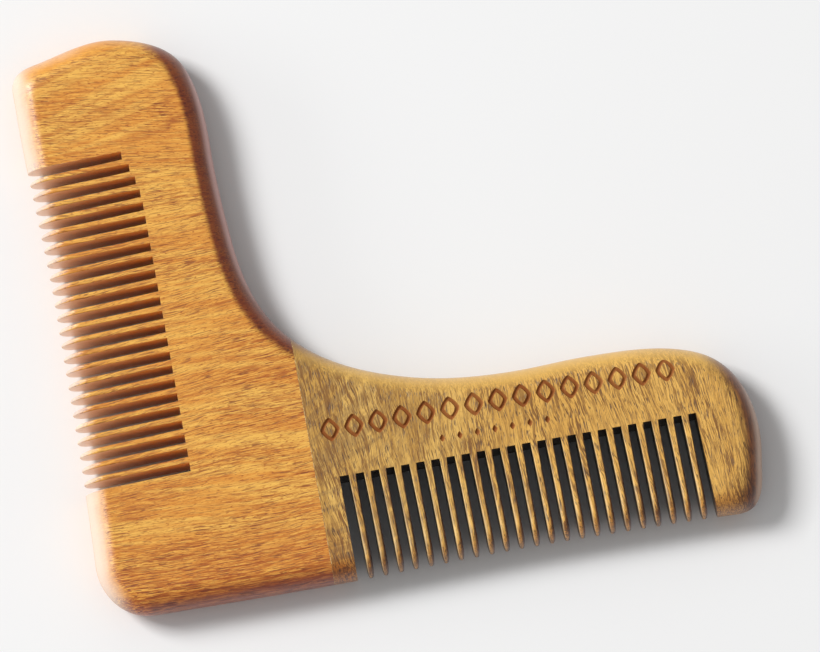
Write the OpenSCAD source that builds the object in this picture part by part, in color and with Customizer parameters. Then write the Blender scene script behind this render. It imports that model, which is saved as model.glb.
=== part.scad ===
// L-shaped wooden beard comb: two sawn boards joined edge to end at a glued, dowelled seam.
// X runs along the tooth row of the level arm, Y along the row of the upright arm, Z through the
// thickness. The comb lies flat: its underside is z = 0 and its outline is centred on X and Y.
// Every tooth is cut from its board, with the grain running along it.

/* [Board] */
// Thickness of both boards
thickness = 10; // [8:0.5:12]
// How far the rounded edge reaches in from the outline
edge_reach = 4.2; // [2:0.1:4.5]
// Turn of the outline or of its rounded edge covered by one facet, in degrees
facet_turn = 6; // [6:1:20]
// Facets over half of the rounded edge, from mid thickness to the flat face
edge_facets = 6; // [3:1:8]

/* [Outline of the upright arm] */
// Middle of the upright tooth line: x, y, heading
row_middle = [-60, 3, 89]; // [-90:0.1:90]
// Foot of the squared top corner: x, y, heading
top_corner_foot = [-60.7, 43.5, 89]; // [-90:0.1:90]
// Bend of the squared top corner: x, y, heading
top_corner = [-59.9, 48.5, 50]; // [-90:0.1:90]
// Start of the sloping top edge: x, y, heading
top_slope = [-54.5, 50.6, 13]; // [-90:0.1:90]
// Just past the crest of the top edge: x, y, heading
crest = [-41.4, 52.3, -10]; // [-90:0.1:90]
// Rounded shoulder: x, y, heading
shoulder = [-29.2, 44.7, -69]; // [-90:0.1:90]
// Straight back of the upright arm: x, y, heading
back = [-27.3, 30.2, -91]; // [-91:0.1:90]
// Where the back begins to sweep outward: x, y, heading
sweep_start = [-26.5, 12.1, -85]; // [-90:0.1:90]

/* [Outline of the level arm] */
// Inner corner of the L: x, y, heading
inner_corner = [-20.9, -4.9, -53]; // [-90:0.1:90]
// Where the sweep flattens: x, y, heading
sweep_end = [0.9, -17.7, -15]; // [-90:0.1:90]
// Shallow hollow in the spine: x, y, heading
spine_hollow = [19, -19.9, -1]; // [-90:0.1:90]
// Slight rise of the spine: x, y, heading
spine_rise = [32.9, -19.6, -1]; // [-90:0.1:90]
// Where the spine falls to the nose: x, y, heading
nose_shoulder = [52.2, -22.3, -23]; // [-90:0.1:90]
// Front of the nose: x, y, heading
nose = [60.45, -43.3, -101]; // [-101:0.1:90]
// Bend at the foot of the nose: x, y, heading
nose_foot = [58.1, -51.2, -130]; // [-130:0.1:90]
// Right end of the bottom edge: x, y, heading
bottom_right = [51.5, -52.4, -181]; // [-182:0.1:90]
// Middle of the level tooth line, slightly hollow: x, y, heading
tips_middle = [14.9, -51.8, -180]; // [-180:0.1:90]
// Bottom edge beside the seam: x, y, heading
bottom_seam = [-19.8, -52.3, -180]; // [-180:0.1:90]
// Start of the rounded heel: x, y, heading
heel_start = [-52, -52, -181]; // [-181:0.1:90]
// End of the rounded heel: x, y, heading
heel_end = [-60.95, -41.3, -273]; // [-273:0.1:90]

/* [Level arm teeth] */
// Spacing of the teeth
level_pitch = 2.76; // [2:0.01:4]
// Centre of the first tooth at its root, along X
level_first = -12.71; // [-16:0.01:0]
// Line of the slot bottoms, along Y
level_root = -33.75; // [-40:0.05:-25]
// Lean of the first tooth away from square, in degrees
level_lean_first = 0.8; // [0:0.1:4]
// Lean of the last tooth, in degrees
level_lean_last = 1.2; // [0:0.1:4]
// Tooth width where it leaves the board
level_root_width = 1.25; // [0.8:0.05:2]
// Tooth width over most of its length
level_width = 1.1; // [0.8:0.05:2]
// Tooth width at the very tip
level_tip_width = 0.4; // [0.2:0.05:1]
// Length of the rounded tip
level_tip = 1.8; // [0.5:0.1:5]
// Wall of the first slot, along X
level_first_wall = -15.03; // [-18:0.01:-14]
// Wall of the last slot at its bottom, along X
level_last_wall = 50; // [45:0.1:55]
// Lean of the last slot's wall, in degrees
level_wall_lean = 2.1; // [0:0.1:4]

/* [Upright arm teeth] */
// Spacing of the teeth at the top of the row
upright_pitch = 2.465; // [2:0.005:4]
// Growth of the spacing from one tooth to the next
upright_growth = 0.0024; // [0:0.0002:0.01]
// Centre of the first tooth at its root, along Y
upright_first = 29.43; // [20:0.01:35]
// Line of the slot bottoms, along X
upright_root = -41.1; // [-45:0.05:-35]
// Lean of every tooth away from square, in degrees
upright_lean = 2; // [0:0.1:4]
// Tooth width where it leaves the board
upright_root_width = 1.05; // [0.8:0.05:2]
// Tooth width over most of its length
upright_width = 0.9; // [0.6:0.05:2]
// Tooth width at the very tip
upright_tip_width = 0.3; // [0.2:0.05:1]
// Length of the pointed tip
upright_tip = 3.6; // [0.5:0.1:6]
// How much shorter the topmost slot is than a full one
short_slot = 2.3; // [0:0.1:5]
// How many slots at the top get steadily longer
short_slots = 4; // [1:1:8]
// Wall of the first slot at its bottom, along Y
upright_first_wall = 31.4; // [25:0.05:35]
// Wall of the last slot at its bottom, along Y
upright_last_wall = -28.1; // [-35:0.05:-20]
// Lean of the two end walls, in degrees
upright_wall_lean = 1.6; // [0:0.1:4]

/* [Teeth of both arms] */
// Teeth in each arm
teeth = 23; // [10:1:40]
// Length of tooth over which the root width eases to the body width
root_ease = 6; // [1:0.5:10]
// Facets along each rounded tip
tip_facets = 4; // [2:1:8]

/* [Joint] */
// Plane of the seam between the boards, along X
seam = -19.2; // [-25:0.1:-15]
// Thickness of the glue in the seam
glue = 0.1; // [0.05:0.05:0.3]
// Diameter of the two dowels
dowel_diameter = 4; // [3:0.5:6]
// Length of each dowel, half in each board
dowel_length = 16; // [10:1:20]
// Height of the upper dowel along Y
upper_dowel = -19.5; // [-24:0.5:-18]
// Height of the lower dowel along Y
lower_dowel = -29; // [-30:0.5:-26]

/* [Ornament] */
// Depth of the engraved ornament
engraving = 0.4; // [0.2:0.1:1]
// Lozenges in the main band
lozenges = 15; // [5:1:21]
// First and last lozenge centre along X
band = [-15.2, 46]; // [-60:0.1:60]
// Height of the band's centre line along Y
band_height = -25.1; // [-30:0.1:-20]
// Width and height of a lozenge
lozenge = [3.6, 4.4]; // [1:0.1:6]
// Width of the engraved line
line = 0.55; // [0.3:0.05:1]
// Diamonds in the small row under the band
diamonds = 7; // [3:1:15]
// First and last diamond centre along X
small_row = [4.4, 23.6]; // [-60:0.1:60]
// Height of the small row along Y
small_height = -30.2; // [-32:0.1:-28]
// Width and height of a diamond
diamond = [1, 1.4]; // [0.4:0.1:3]

/* [Hidden] */
OVERRUN = 3;
CORNER_REACH = 1;
MIDDLE = [-39, -33];
HONEY = [0.84, 0.6, 0.3];
OLIVE = [0.72, 0.57, 0.33];
GLUE = [0.86, 0.8, 0.66];
BEECH = [0.86, 0.74, 0.55];

// The outline's knots in order, each with how far the rounding reaches in there.
KNOTS = [
    for (k = [row_middle, top_corner_foot]) concat(k, edge_reach),
    concat(top_corner, edge_reach + CORNER_REACH),
    for (k = [top_slope, crest, shoulder, back, sweep_start, inner_corner, sweep_end,
              spine_hollow, spine_rise, nose_shoulder, nose]) concat(k, edge_reach),
    concat(nose_foot, edge_reach + CORNER_REACH),
    for (k = [bottom_right, tips_middle, bottom_seam, heel_start, heel_end]) concat(k, edge_reach)
];

// Change of heading between two knots, from -180 to 180.
function turn(a, b) = (b[2] - a[2] + 900) % 360 - 180;

// A knot moved in from the edge by a share of its reach.
function inset(k, share) = [k[0] + sin(k[2]) * k[3] * share, k[1] - cos(k[2]) * k[3] * share];

// A point between two knots on the curve that leaves and arrives along their headings.
function between(a, b, share, t) =
    let (
        p = inset(a, share),
        q = inset(b, share),
        reach = norm(q - p) / (3 * pow(cos(turn(a, b) / 4), 2)),
        p1 = p + reach * [cos(a[2]), sin(a[2])],
        q1 = q - reach * [cos(b[2]), sin(b[2])],
        s = 1 - t
    ) s * s * s * p + 3 * s * s * t * p1 + 3 * s * t * t * q1 + t * t * t * q;

// The whole outline, moved in by a share of the reach.
function outline(share) = [
    for (i = [0 : len(KNOTS) - 1])
        let (
            a = KNOTS[i],
            b = KNOTS[(i + 1) % len(KNOTS)],
            steps = max(3, ceil(abs(turn(a, b)) / facet_turn))
        )
        for (s = [0 : steps - 1]) between(a, b, share, s / steps)
];

// The L-shaped blank with a rounded edge all round and flat faces. MIDDLE is the point that each flat
// face is fanned from.
module blank() {
    half = thickness / 2;
    rings = 2 * edge_facets + 1;
    layers = [for (r = [0 : rings - 1])
        let (angle = 90 * (r - edge_facets) / edge_facets)
        [for (p = outline(1 - cos(angle))) [p[0], p[1], half + half * sin(angle)]]];
    n = len(layers[0]);
    points = concat([for (l = layers) each l], [concat(MIDDLE, 0), concat(MIDDLE, thickness)]);
    low = rings * n;
    polyhedron(points, concat(
        [for (r = [0 : rings - 2], i = [0 : n - 1]) [r * n + i, (r + 1) * n + (i + 1) % n, (r + 1) * n + i]],
        [for (r = [0 : rings - 2], i = [0 : n - 1]) [r * n + i, r * n + (i + 1) % n, (r + 1) * n + (i + 1) % n]],
        [for (i = [0 : n - 1]) [low, (i + 1) % n, i]],
        [for (i = [0 : n - 1]) [low + 1, (rings - 1) * n + i, (rings - 1) * n + (i + 1) % n]]
    ));
}

// Everything left of (side = -1) or right of (side = 1) the glued seam.
module half_space(side) {
    size = 200;
    translate([seam + side * (glue / 2 + size / 2), 0, thickness / 2])
        cube([size, size, size], center = true);
}

// Half the width of a tooth at a distance from its root.
// w = [root width, body width, tip width], l = [whole length, tip length].
function half_width(w, l, d) =
    let (into_tip = min(1, max(0, d - l[0] + l[1]) / l[1]))
    d < root_ease ? (w[0] + (w[1] - w[0]) * max(0, d) / root_ease) / 2
                  : (w[2] + (w[1] - w[2]) * sqrt(1 - into_tip * into_tip)) / 2;

// Distances from the root at which a tooth's side bends.
function stations(start, l) = concat([start, root_ease],
    [for (k = [0 : tip_facets]) l[0] - l[1] + l[1] * sin(90 * k / tip_facets)], [l[0] + OVERRUN]);

// One slot between two sides, each [position at the root, lean, which side of a tooth (0 for a wall)],
// drawn with the position along x and the distance from the root along y.
module slot(start, low, high, w, l) {
    function edge(e, d) = e[0] + d * tan(e[1]) + e[2] * half_width(w, l, d);
    d = stations(start, l);
    polygon(concat(
        [for (k = [0 : len(d) - 1]) [edge(low, d[k]), d[k]]],
        [for (k = [len(d) - 1 : -1 : 0]) [edge(high, d[k]), d[k]]]));
}

// The slots of one arm. first and last are the end walls, at(j) the middle of tooth j.
module level_slots() {
    w = [level_root_width, level_width, level_tip_width];
    l = [level_root - bottom_seam[1], level_tip];
    function tooth(j, side) = [level_first + level_pitch * j,
        level_lean_first + (level_lean_last - level_lean_first) * j / (teeth - 1), side];
    translate([0, level_root, -OVERRUN]) mirror([0, 1, 0])
        linear_extrude(thickness + 2 * OVERRUN)
            for (i = [0 : teeth])
                slot(0,
                    i == 0 ? [level_first_wall, 0, 0] : tooth(i - 1, 1),
                    i == teeth ? [level_last_wall, level_wall_lean, 0] : tooth(i, -1), w, l);
}

module upright_slots() {
    w = [upright_root_width, upright_width, upright_tip_width];
    l = [upright_root - row_middle[0], upright_tip];
    function tooth(j, side) = [-upright_first + upright_pitch * j + upright_growth * j * j, upright_lean, side];
    translate([upright_root, 0, -OVERRUN]) rotate(90) mirror([1, 0, 0])
        linear_extrude(thickness + 2 * OVERRUN)
            for (i = [0 : teeth])
                slot(short_slot * pow(max(0, 1 - i / short_slots), 2),
                    i == 0 ? [-upright_first_wall, upright_wall_lean, 0] : tooth(i - 1, 1),
                    i == teeth ? [-upright_last_wall, upright_wall_lean, 0] : tooth(i, -1), w, l);
}

// A dowel, or its bore, lying along X across the seam.
module dowel_at(height) {
    translate([seam - dowel_length / 2, height, thickness / 2])
        rotate([0, 90, 0]) cylinder(h = dowel_length, d = dowel_diameter);
}

module rhombus(size) {
    polygon([[-size[0] / 2, 0], [0, -size[1] / 2], [size[0] / 2, 0], [0, size[1] / 2]]);
}

// A band of outlined lozenges, with a row of small diamonds under it.
module ornament() {
    inner = [lozenge[0] - 2.6 * line, lozenge[1] - 2.6 * line];
    translate([0, 0, thickness - engraving]) linear_extrude(engraving + OVERRUN) {
        for (i = [0 : lozenges - 1])
            translate([band[0] + (band[1] - band[0]) * i / (lozenges - 1), band_height])
                difference() {
                    rhombus(lozenge);
                    rhombus(inner);
                }
        for (i = [0 : diamonds - 1])
            translate([small_row[0] + (small_row[1] - small_row[0]) * i / (diamonds - 1), small_height])
                rhombus(diamond);
    }
}

// Board with the upright tooth row, the heel and half of the seam.
module upright_board() {
    color(HONEY) difference() {
        blank();
        translate([-glue, 0, 0]) half_space(1);
        upright_slots();
        dowel_at(upper_dowel);
        dowel_at(lower_dowel);
    }
}

// Board with the level tooth row, the nose and the other half of the seam.
module level_board() {
    color(OLIVE) difference() {
        blank();
        translate([glue, 0, 0]) half_space(-1);
        level_slots();
        ornament();
        dowel_at(upper_dowel);
        dowel_at(lower_dowel);
    }
}

// Film of glue between the boards, flush with their faces and edge.
module glue_line() {
    color(GLUE) difference() {
        blank();
        half_space(-1);
        half_space(1);
        dowel_at(upper_dowel);
        dowel_at(lower_dowel);
    }
}

module dowel_upper() {
    color(BEECH) dowel_at(upper_dowel);
}

module dowel_lower() {
    color(BEECH) dowel_at(lower_dowel);
}

upright_board();
level_board();
glue_line();
dowel_upper();
dowel_lower();
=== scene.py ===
"""A two-board wooden beard comb lying on a pale studio floor.

All lengths in the classes are millimetres in the frame's axes: X along the level arm's tooth row,
Y along the upright arm's row, Z through the thickness. Meshes are written in metres.
"""

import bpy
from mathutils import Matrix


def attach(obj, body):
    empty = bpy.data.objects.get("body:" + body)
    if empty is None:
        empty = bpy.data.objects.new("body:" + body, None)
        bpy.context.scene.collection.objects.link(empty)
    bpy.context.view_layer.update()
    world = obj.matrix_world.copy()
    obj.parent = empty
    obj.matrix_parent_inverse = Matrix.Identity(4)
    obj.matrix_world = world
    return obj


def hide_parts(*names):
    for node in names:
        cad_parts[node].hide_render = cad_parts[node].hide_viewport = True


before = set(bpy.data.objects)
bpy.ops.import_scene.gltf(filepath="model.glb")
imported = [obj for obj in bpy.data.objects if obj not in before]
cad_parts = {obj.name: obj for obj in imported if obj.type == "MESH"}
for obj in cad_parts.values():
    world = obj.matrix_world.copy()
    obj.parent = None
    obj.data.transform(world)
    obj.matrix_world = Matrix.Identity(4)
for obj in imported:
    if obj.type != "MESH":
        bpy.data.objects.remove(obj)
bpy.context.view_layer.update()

import logging
import math
from dataclasses import dataclass
from enum import Enum
from typing import Any, Callable, Sequence

import bmesh
import bpy
from mathutils import Matrix, Vector
from mathutils.geometry import delaunay_2d_cdt

LOG = logging.getLogger("comb")
MM = 0.001
WELD = 1e-6
BISECTIONS = 50
WALK_STEPS = 400

Point2 = tuple[float, float]
Point3 = tuple[float, float, float]
Colour = tuple[float, float, float]


def tan_deg(angle: float) -> float:
    """Return the tangent of an angle in degrees."""
    return math.tan(math.radians(angle))


def srgb(red: int, green: int, blue: int) -> Colour:
    """Turn a display colour into a linear one.

    Args:
        red: Red, 0 to 255.
        green: Green, 0 to 255.
        blue: Blue, 0 to 255.

    Returns:
        The linear colour.
    """
    def linear(channel: int) -> float:
        """Return one linear channel."""
        share = channel / 255
        return share / 12.92 if share <= 0.04045 else ((share + 0.055) / 1.055) ** 2.4
    return linear(red), linear(green), linear(blue)


def put(name: str, data: bpy.types.ID) -> bpy.types.Object:
    """Put a new object in the scene.

    Args:
        name: The object's name.
        data: Its mesh, light or camera.

    Returns:
        The object.
    """
    made = bpy.data.objects.new(name, data)
    bpy.context.scene.collection.objects.link(made)
    return made


def plain_mesh(piece: bpy.types.Object) -> bpy.types.Mesh:
    """Turn an object and its modifiers into a plain mesh.

    Args:
        piece: The object, which loses its modifiers.

    Returns:
        The mesh.
    """
    result = piece.evaluated_get(bpy.context.evaluated_depsgraph_get())
    mesh = bpy.data.meshes.new_from_object(result)
    piece.modifiers.clear()
    return mesh


# ---------------------------------------------------------------- node trees

class Link:
    """One value running through a node tree, with the operators that add its Math nodes."""

    def __init__(self, graph: "Graph", socket: bpy.types.NodeSocket) -> None:
        """Wrap a socket of a graph."""
        self.graph = graph
        self.socket = socket

    def _math(self, operation: str, *values: Any) -> "Link":
        """Return the result of one Math node."""
        return self.graph.node("ShaderNodeMath", {"operation": operation},
                               dict(enumerate(values)))

    def __add__(self, other: Any) -> "Link":
        """Return self + other."""
        return self._math("ADD", self, other)

    __radd__ = __add__

    def __sub__(self, other: Any) -> "Link":
        """Return self - other."""
        return self._math("SUBTRACT", self, other)

    def __rsub__(self, other: Any) -> "Link":
        """Return other - self."""
        return self._math("SUBTRACT", other, self)

    def __mul__(self, other: Any) -> "Link":
        """Return self * other."""
        return self._math("MULTIPLY", self, other)

    __rmul__ = __mul__

    def __truediv__(self, other: Any) -> "Link":
        """Return self / other."""
        return self._math("DIVIDE", self, other)

    def __rtruediv__(self, other: Any) -> "Link":
        """Return other / self."""
        return self._math("DIVIDE", other, self)

    def __pow__(self, other: Any) -> "Link":
        """Return self to the power of other."""
        return self._math("POWER", self, other)

    def __mod__(self, other: Any) -> "Link":
        """Return the positive remainder of self / other."""
        return self._math("FLOORED_MODULO", self, other)

    def __lt__(self, other: Any) -> "Link":
        """Return 1 where self < other, else 0."""
        return self._math("LESS_THAN", self, other)

    def __gt__(self, other: Any) -> "Link":
        """Return 1 where self > other, else 0."""
        return self._math("GREATER_THAN", self, other)

    def __abs__(self) -> "Link":
        """Return the absolute value."""
        return self._math("ABSOLUTE", self)

    def least(self, other: Any) -> "Link":
        """Return the smaller of self and other."""
        return self._math("MINIMUM", self, other)

    def most(self, other: Any) -> "Link":
        """Return the larger of self and other."""
        return self._math("MAXIMUM", self, other)

    def held(self) -> "Link":
        """Return self held between 0 and 1."""
        return self.most(0.0).least(1.0)

    def floor(self) -> "Link":
        """Return the whole number below self."""
        return self._math("FLOOR", self)

    def root(self) -> "Link":
        """Return the square root of self, or 0 where self is negative."""
        return self._math("SQRT", self.most(0.0))

    def sin(self) -> "Link":
        """Return the sine of self in radians."""
        return self._math("SINE", self)

    def cos(self) -> "Link":
        """Return the cosine of self in radians."""
        return self._math("COSINE", self)

    def tan(self) -> "Link":
        """Return the tangent of self in radians."""
        return self._math("TANGENT", self)

    def ease(self, low: float, high: float) -> "Link":
        """Return 0 below low and 1 above high, with a smooth step between.

        Args:
            low: Where the step starts.
            high: Where the step ends.

        Returns:
            The stepped value.
        """
        return self.graph.node("ShaderNodeMapRange", {"interpolation_type": "SMOOTHSTEP"},
                               {"Value": self, "From Min": low, "From Max": high})


class Graph:
    """A node tree under construction."""

    def __init__(self, tree: bpy.types.NodeTree) -> None:
        """Wrap an empty tree."""
        self.tree = tree

    def node(self, kind: str, settings: dict[str, Any] | None = None,
             inputs: dict[Any, Any] | None = None, output: Any = 0) -> Link:
        """Add one node.

        Args:
            kind: The node's type.
            settings: Properties set before the sockets.
            inputs: Socket name or number to a value or a link.
            output: The socket that is returned, by name or number.

        Returns:
            The node's chosen output.
        """
        made = self.tree.nodes.new(kind)
        for name, value in (settings or {}).items():
            setattr(made, name, value)
        for name, value in (inputs or {}).items():
            socket = made.inputs[name]
            if isinstance(value, Link):
                self.tree.links.new(value.socket, socket)
            elif socket.type == "RGBA" and len(value) == 3:
                socket.default_value = (*value, 1.0)
            else:
                socket.default_value = value
        return Link(self, made.outputs[output])

    def vector(self, x: Any, y: Any, z: Any) -> Link:
        """Return a vector joined from three values."""
        return self.node("ShaderNodeCombineXYZ", None, {0: x, 1: y, 2: z})

    def split(self, vector: Link) -> tuple[Link, Link, Link]:
        """Split a vector.

        Args:
            vector: The vector.

        Returns:
            Its three parts.
        """
        first = self.node("ShaderNodeSeparateXYZ", None, {0: vector})
        outputs = first.socket.node.outputs
        return first, Link(self, outputs[1]), Link(self, outputs[2])

    def move(self, operation: str, *vectors: Any, **named: Any) -> Link:
        """Return the result of one Vector Math node."""
        return self.node("ShaderNodeVectorMath", {"operation": operation},
                         {**dict(enumerate(vectors)), **named})

    def blend(self, share: Any, first: Any, second: Any, how: str = "MIX") -> Link:
        """Mix two colours.

        Args:
            share: How much of the second colour.
            first: The colour under it.
            second: The colour over it.
            how: The blend type.

        Returns:
            The mixed colour.
        """
        made = self.tree.nodes.new("ShaderNodeMix")
        made.data_type, made.blend_type = "RGBA", how
        for number, value in ((0, share), (6, first), (7, second)):
            if isinstance(value, Link):
                self.tree.links.new(value.socket, made.inputs[number])
            else:
                made.inputs[number].default_value = (*value, 1.0) if number else value
        return Link(self, made.outputs[2])


# ---------------------------------------------------------------- outline and row sizes

@dataclass(frozen=True)
class Knot:
    """A point of the outline, the heading there, and how far the rounded edge reaches in."""

    x: float
    y: float
    heading: float
    reach: float = 4.2

    def inset(self, share: float) -> Vector:
        """Move the knot in from the edge.

        Args:
            share: How far, as a share of its reach.

        Returns:
            The point.
        """
        angle = math.radians(self.heading)
        step = self.reach * share
        return Vector((self.x + math.sin(angle) * step, self.y - math.cos(angle) * step))

    def along(self) -> Vector:
        """Return the heading as a direction."""
        angle = math.radians(self.heading)
        return Vector((math.cos(angle), math.sin(angle)))


@dataclass(frozen=True)
class Cut:
    """A straight upright cut through the plan: a point on it and its direction in degrees."""

    x: float
    y: float
    heading: float

    def side(self, point: Vector) -> float:
        """Return how far a point lies to the left of the cut."""
        angle = math.radians(self.heading)
        return (point.y - self.y) * math.cos(angle) - (point.x - self.x) * math.sin(angle)


@dataclass(frozen=True)
class Outline:
    """The comb's plan, walked clockwise from the middle of the upright tooth line."""

    thickness: float = 10.0
    arc_steps: int = 10
    spacing: float = 0.6
    knots: tuple[Knot, ...] = (
        Knot(-60, 3, 89), Knot(-60.7, 43.5, 89), Knot(-59.9, 48.5, 50, 5.2),
        Knot(-54.5, 50.6, 13), Knot(-41.4, 52.3, -10), Knot(-29.2, 44.7, -69),
        Knot(-27.3, 30.2, -91), Knot(-26.5, 12.1, -85), Knot(-20.9, -4.9, -53),
        Knot(0.9, -17.7, -15), Knot(19, -19.9, -1), Knot(32.9, -19.6, -1),
        Knot(52.2, -22.3, -23), Knot(60.45, -43.3, -101), Knot(58.1, -51.2, -130, 5.2),
        Knot(51.5, -52.4, -181), Knot(14.9, -51.8, -180), Knot(-19.8, -52.3, -180),
        Knot(-52, -52, -181), Knot(-60.95, -41.3, -273),
    )

    def point(self, place: float, share: float) -> Vector:
        """Find a point of the plan.

        Args:
            place: Knot number, with the share of the way to the next one.
            share: How far in from the edge, as a share of the reach.

        Returns:
            The point.
        """
        count = len(self.knots)
        number = math.floor(place)
        t = place - number
        a, b = self.knots[number % count], self.knots[(number + 1) % count]
        turn = (b.heading - a.heading + 900) % 360 - 180
        p, q = a.inset(share), b.inset(share)
        pull = (q - p).length / (3 * math.cos(math.radians(turn / 4)) ** 2)
        p1, q1 = p + a.along() * pull, q - b.along() * pull
        s = 1 - t
        return s * s * s * p + 3 * s * s * t * p1 + 3 * s * t * t * q1 + t * t * t * q

    def crossing(self, cut: Cut, low: float, high: float, share: float) -> float:
        """Find where the edge meets a cut.

        Args:
            cut: The cut.
            low: Place before the crossing.
            high: Place after it.
            share: How far in from the edge.

        Returns:
            The place of the crossing.
        """
        start = cut.side(self.point(low, share))
        for _ in range(BISECTIONS):
            middle = (low + high) / 2
            if (cut.side(self.point(middle, share)) > 0) == (start > 0):
                low = middle
            else:
                high = middle
        return (low + high) / 2

    def profile(self) -> list[tuple[float, float]]:
        """List the rounded edge's section, from the underside to the top.

        Returns:
            How far in from the edge, as a share of the reach, and the height.
        """
        half = self.thickness / 2
        angles = [math.pi / 2 * k / self.arc_steps
                  for k in range(-self.arc_steps, self.arc_steps + 1)]
        return [(1 - math.cos(a), half + half * math.sin(a)) for a in angles]


OUTLINE = Outline()


@dataclass(frozen=True)
class Span:
    """A stretch of rounded edge between two cuts, with the places between which each is found."""

    first: Cut
    first_range: Point2
    last: Cut
    last_range: Point2

    def lines(self) -> list[list[Point3]]:
        """Walk the stretch.

        Returns:
            The edge's lines from start to end, each running from underside to top.
        """
        profile = OUTLINE.profile()
        ends = [(OUTLINE.crossing(self.first, *self.first_range, share),
                 OUTLINE.crossing(self.last, *self.last_range, share)) for share, _ in profile]
        middle = ends[len(ends) // 2]
        walk = [OUTLINE.point(middle[0] + (middle[1] - middle[0]) * k / WALK_STEPS, 0)
                for k in range(WALK_STEPS + 1)]
        length = sum((b - a).length for a, b in zip(walk, walk[1:]))
        steps = max(4, round(length / OUTLINE.spacing))
        return [[(*OUTLINE.point(a + (b - a) * k / steps, share), z)
                 for (a, b), (share, z) in zip(ends, profile)] for k in range(steps + 1)]


@dataclass(frozen=True)
class ToothRow:
    """The teeth of one arm. Positions run along the row, depths from the root line outwards."""

    origin: Point2
    row: Point2
    out: Point2
    pitch: float
    growth: float
    first: float
    leans: Point2
    root_width: float
    width: float
    tip_width: float
    tip_length: float
    walls: Point2
    wall_leans: Point2
    tip_range: Point2
    short_slot: float
    arris: float
    arris_growth: float
    seed: int
    teeth: int = 23
    short_slots: int = 4
    root_ease: float = 6.0
    wander: float = 0.05

    def place(self, along: float, depth: float) -> Point2:
        """Return a plan point from its position along the row and its depth."""
        return (self.origin[0] + along * self.row[0] + depth * self.out[0],
                self.origin[1] + along * self.row[1] + depth * self.out[1])

    def slot_start(self, slot: int) -> float:
        """Return how far from the root line a slot's bottom lies."""
        return self.short_slot * max(0.0, 1 - slot / self.short_slots) ** 2

    def middle(self, tooth: int) -> float:
        """Return where a tooth stands at the root line."""
        return self.first + self.pitch * tooth + self.growth * tooth * tooth

    def lean(self, tooth: int) -> float:
        """Return a tooth's lean in degrees."""
        return self.leans[0] + (self.leans[1] - self.leans[0]) * tooth / (self.teeth - 1)

    def root_corner(self, tooth: int, side: int) -> Point2:
        """Find a corner where a tooth's side meets its board.

        Args:
            tooth: The tooth's number.
            side: 1 towards the next tooth, -1 towards the one before.

        Returns:
            Position along the row and depth.
        """
        depth = self.slot_start(tooth + 1 if side > 0 else tooth)
        spread = (self.root_width - self.width) * max(0.0, 1 - depth / self.root_ease)
        return (self.middle(tooth) + depth * tan_deg(self.lean(tooth))
                + side * (self.width + spread) / 2, depth)

    def wall_corner(self, last: bool) -> Point2:
        """Return where an end wall meets the bottom of its slot, along the row and in depth."""
        depth = self.slot_start(self.teeth if last else 0)
        return self.walls[last] + depth * tan_deg(self.wall_leans[last]), depth

    def depth_at(self, x: Any, y: Any) -> Any:
        """Return how far outwards from the root line a place lies, in numbers or links."""
        return (x - self.origin[0]) * self.out[0] + (y - self.origin[1]) * self.out[1]

    def along_at(self, x: Any, y: Any) -> Any:
        """Return how far along the row a place lies, in numbers or links."""
        return (x - self.origin[0]) * self.row[0] + (y - self.origin[1]) * self.row[1]

    def near_root(self, point: Point3) -> bool:
        """Tell whether a point is on the first stretch of a tooth or on the root line."""
        depth, along = self.depth_at(*point[:2]), self.along_at(*point[:2])
        return -0.01 < depth < 3.2 and self.walls[0] - 0.5 < along < self.walls[1] + 0.5

    def among(self, x: Link, y: Link) -> Link:
        """Mark the teeth and their slots.

        Args:
            x: Position along X in millimetres.
            y: Position along Y.

        Returns:
            1 among the teeth and 0 elsewhere.
        """
        low, high = self.walls
        middle, half = (low + high) / 2, (high - low) / 2 + 0.7
        return (self.depth_at(x, y) > -0.02) * (abs(self.along_at(x, y) - middle) < half)

    def slots(self) -> list[tuple[Point2, Point2]]:
        """List the slots.

        Returns:
            The two corners of each slot's bottom as plan points.
        """
        found = []
        for slot in range(self.teeth + 1):
            low = self.wall_corner(False) if slot == 0 else self.root_corner(slot - 1, 1)
            high = (self.wall_corner(True) if slot == self.teeth
                    else self.root_corner(slot, -1))
            found.append((self.place(*low), self.place(*high)))
        return found

    def cut_at(self, along: float, lean: float) -> Cut:
        """Cut through the plan across the row.

        Args:
            along: Where the cut meets the root line.
            lean: Its lean in degrees.

        Returns:
            The cut.
        """
        slope = tan_deg(lean)
        direction = (self.out[0] + slope * self.row[0], self.out[1] + slope * self.row[1])
        return Cut(*self.place(along, 0), math.degrees(math.atan2(direction[1], direction[0])))

    def wall_cut(self, last: bool) -> Cut:
        """Return an end wall as a cut through the plan."""
        return self.cut_at(self.walls[last], self.wall_leans[last])

    def tip_depth(self, tooth: int) -> float:
        """Find where the board's edge cuts a tooth off.

        Args:
            tooth: The tooth's number.

        Returns:
            The distance from the root line.
        """
        cut = self.cut_at(self.middle(tooth), self.lean(tooth))
        tip = OUTLINE.point(OUTLINE.crossing(cut, *self.tip_range, 0), 0)
        return self.depth_at(tip.x, tip.y)


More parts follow.
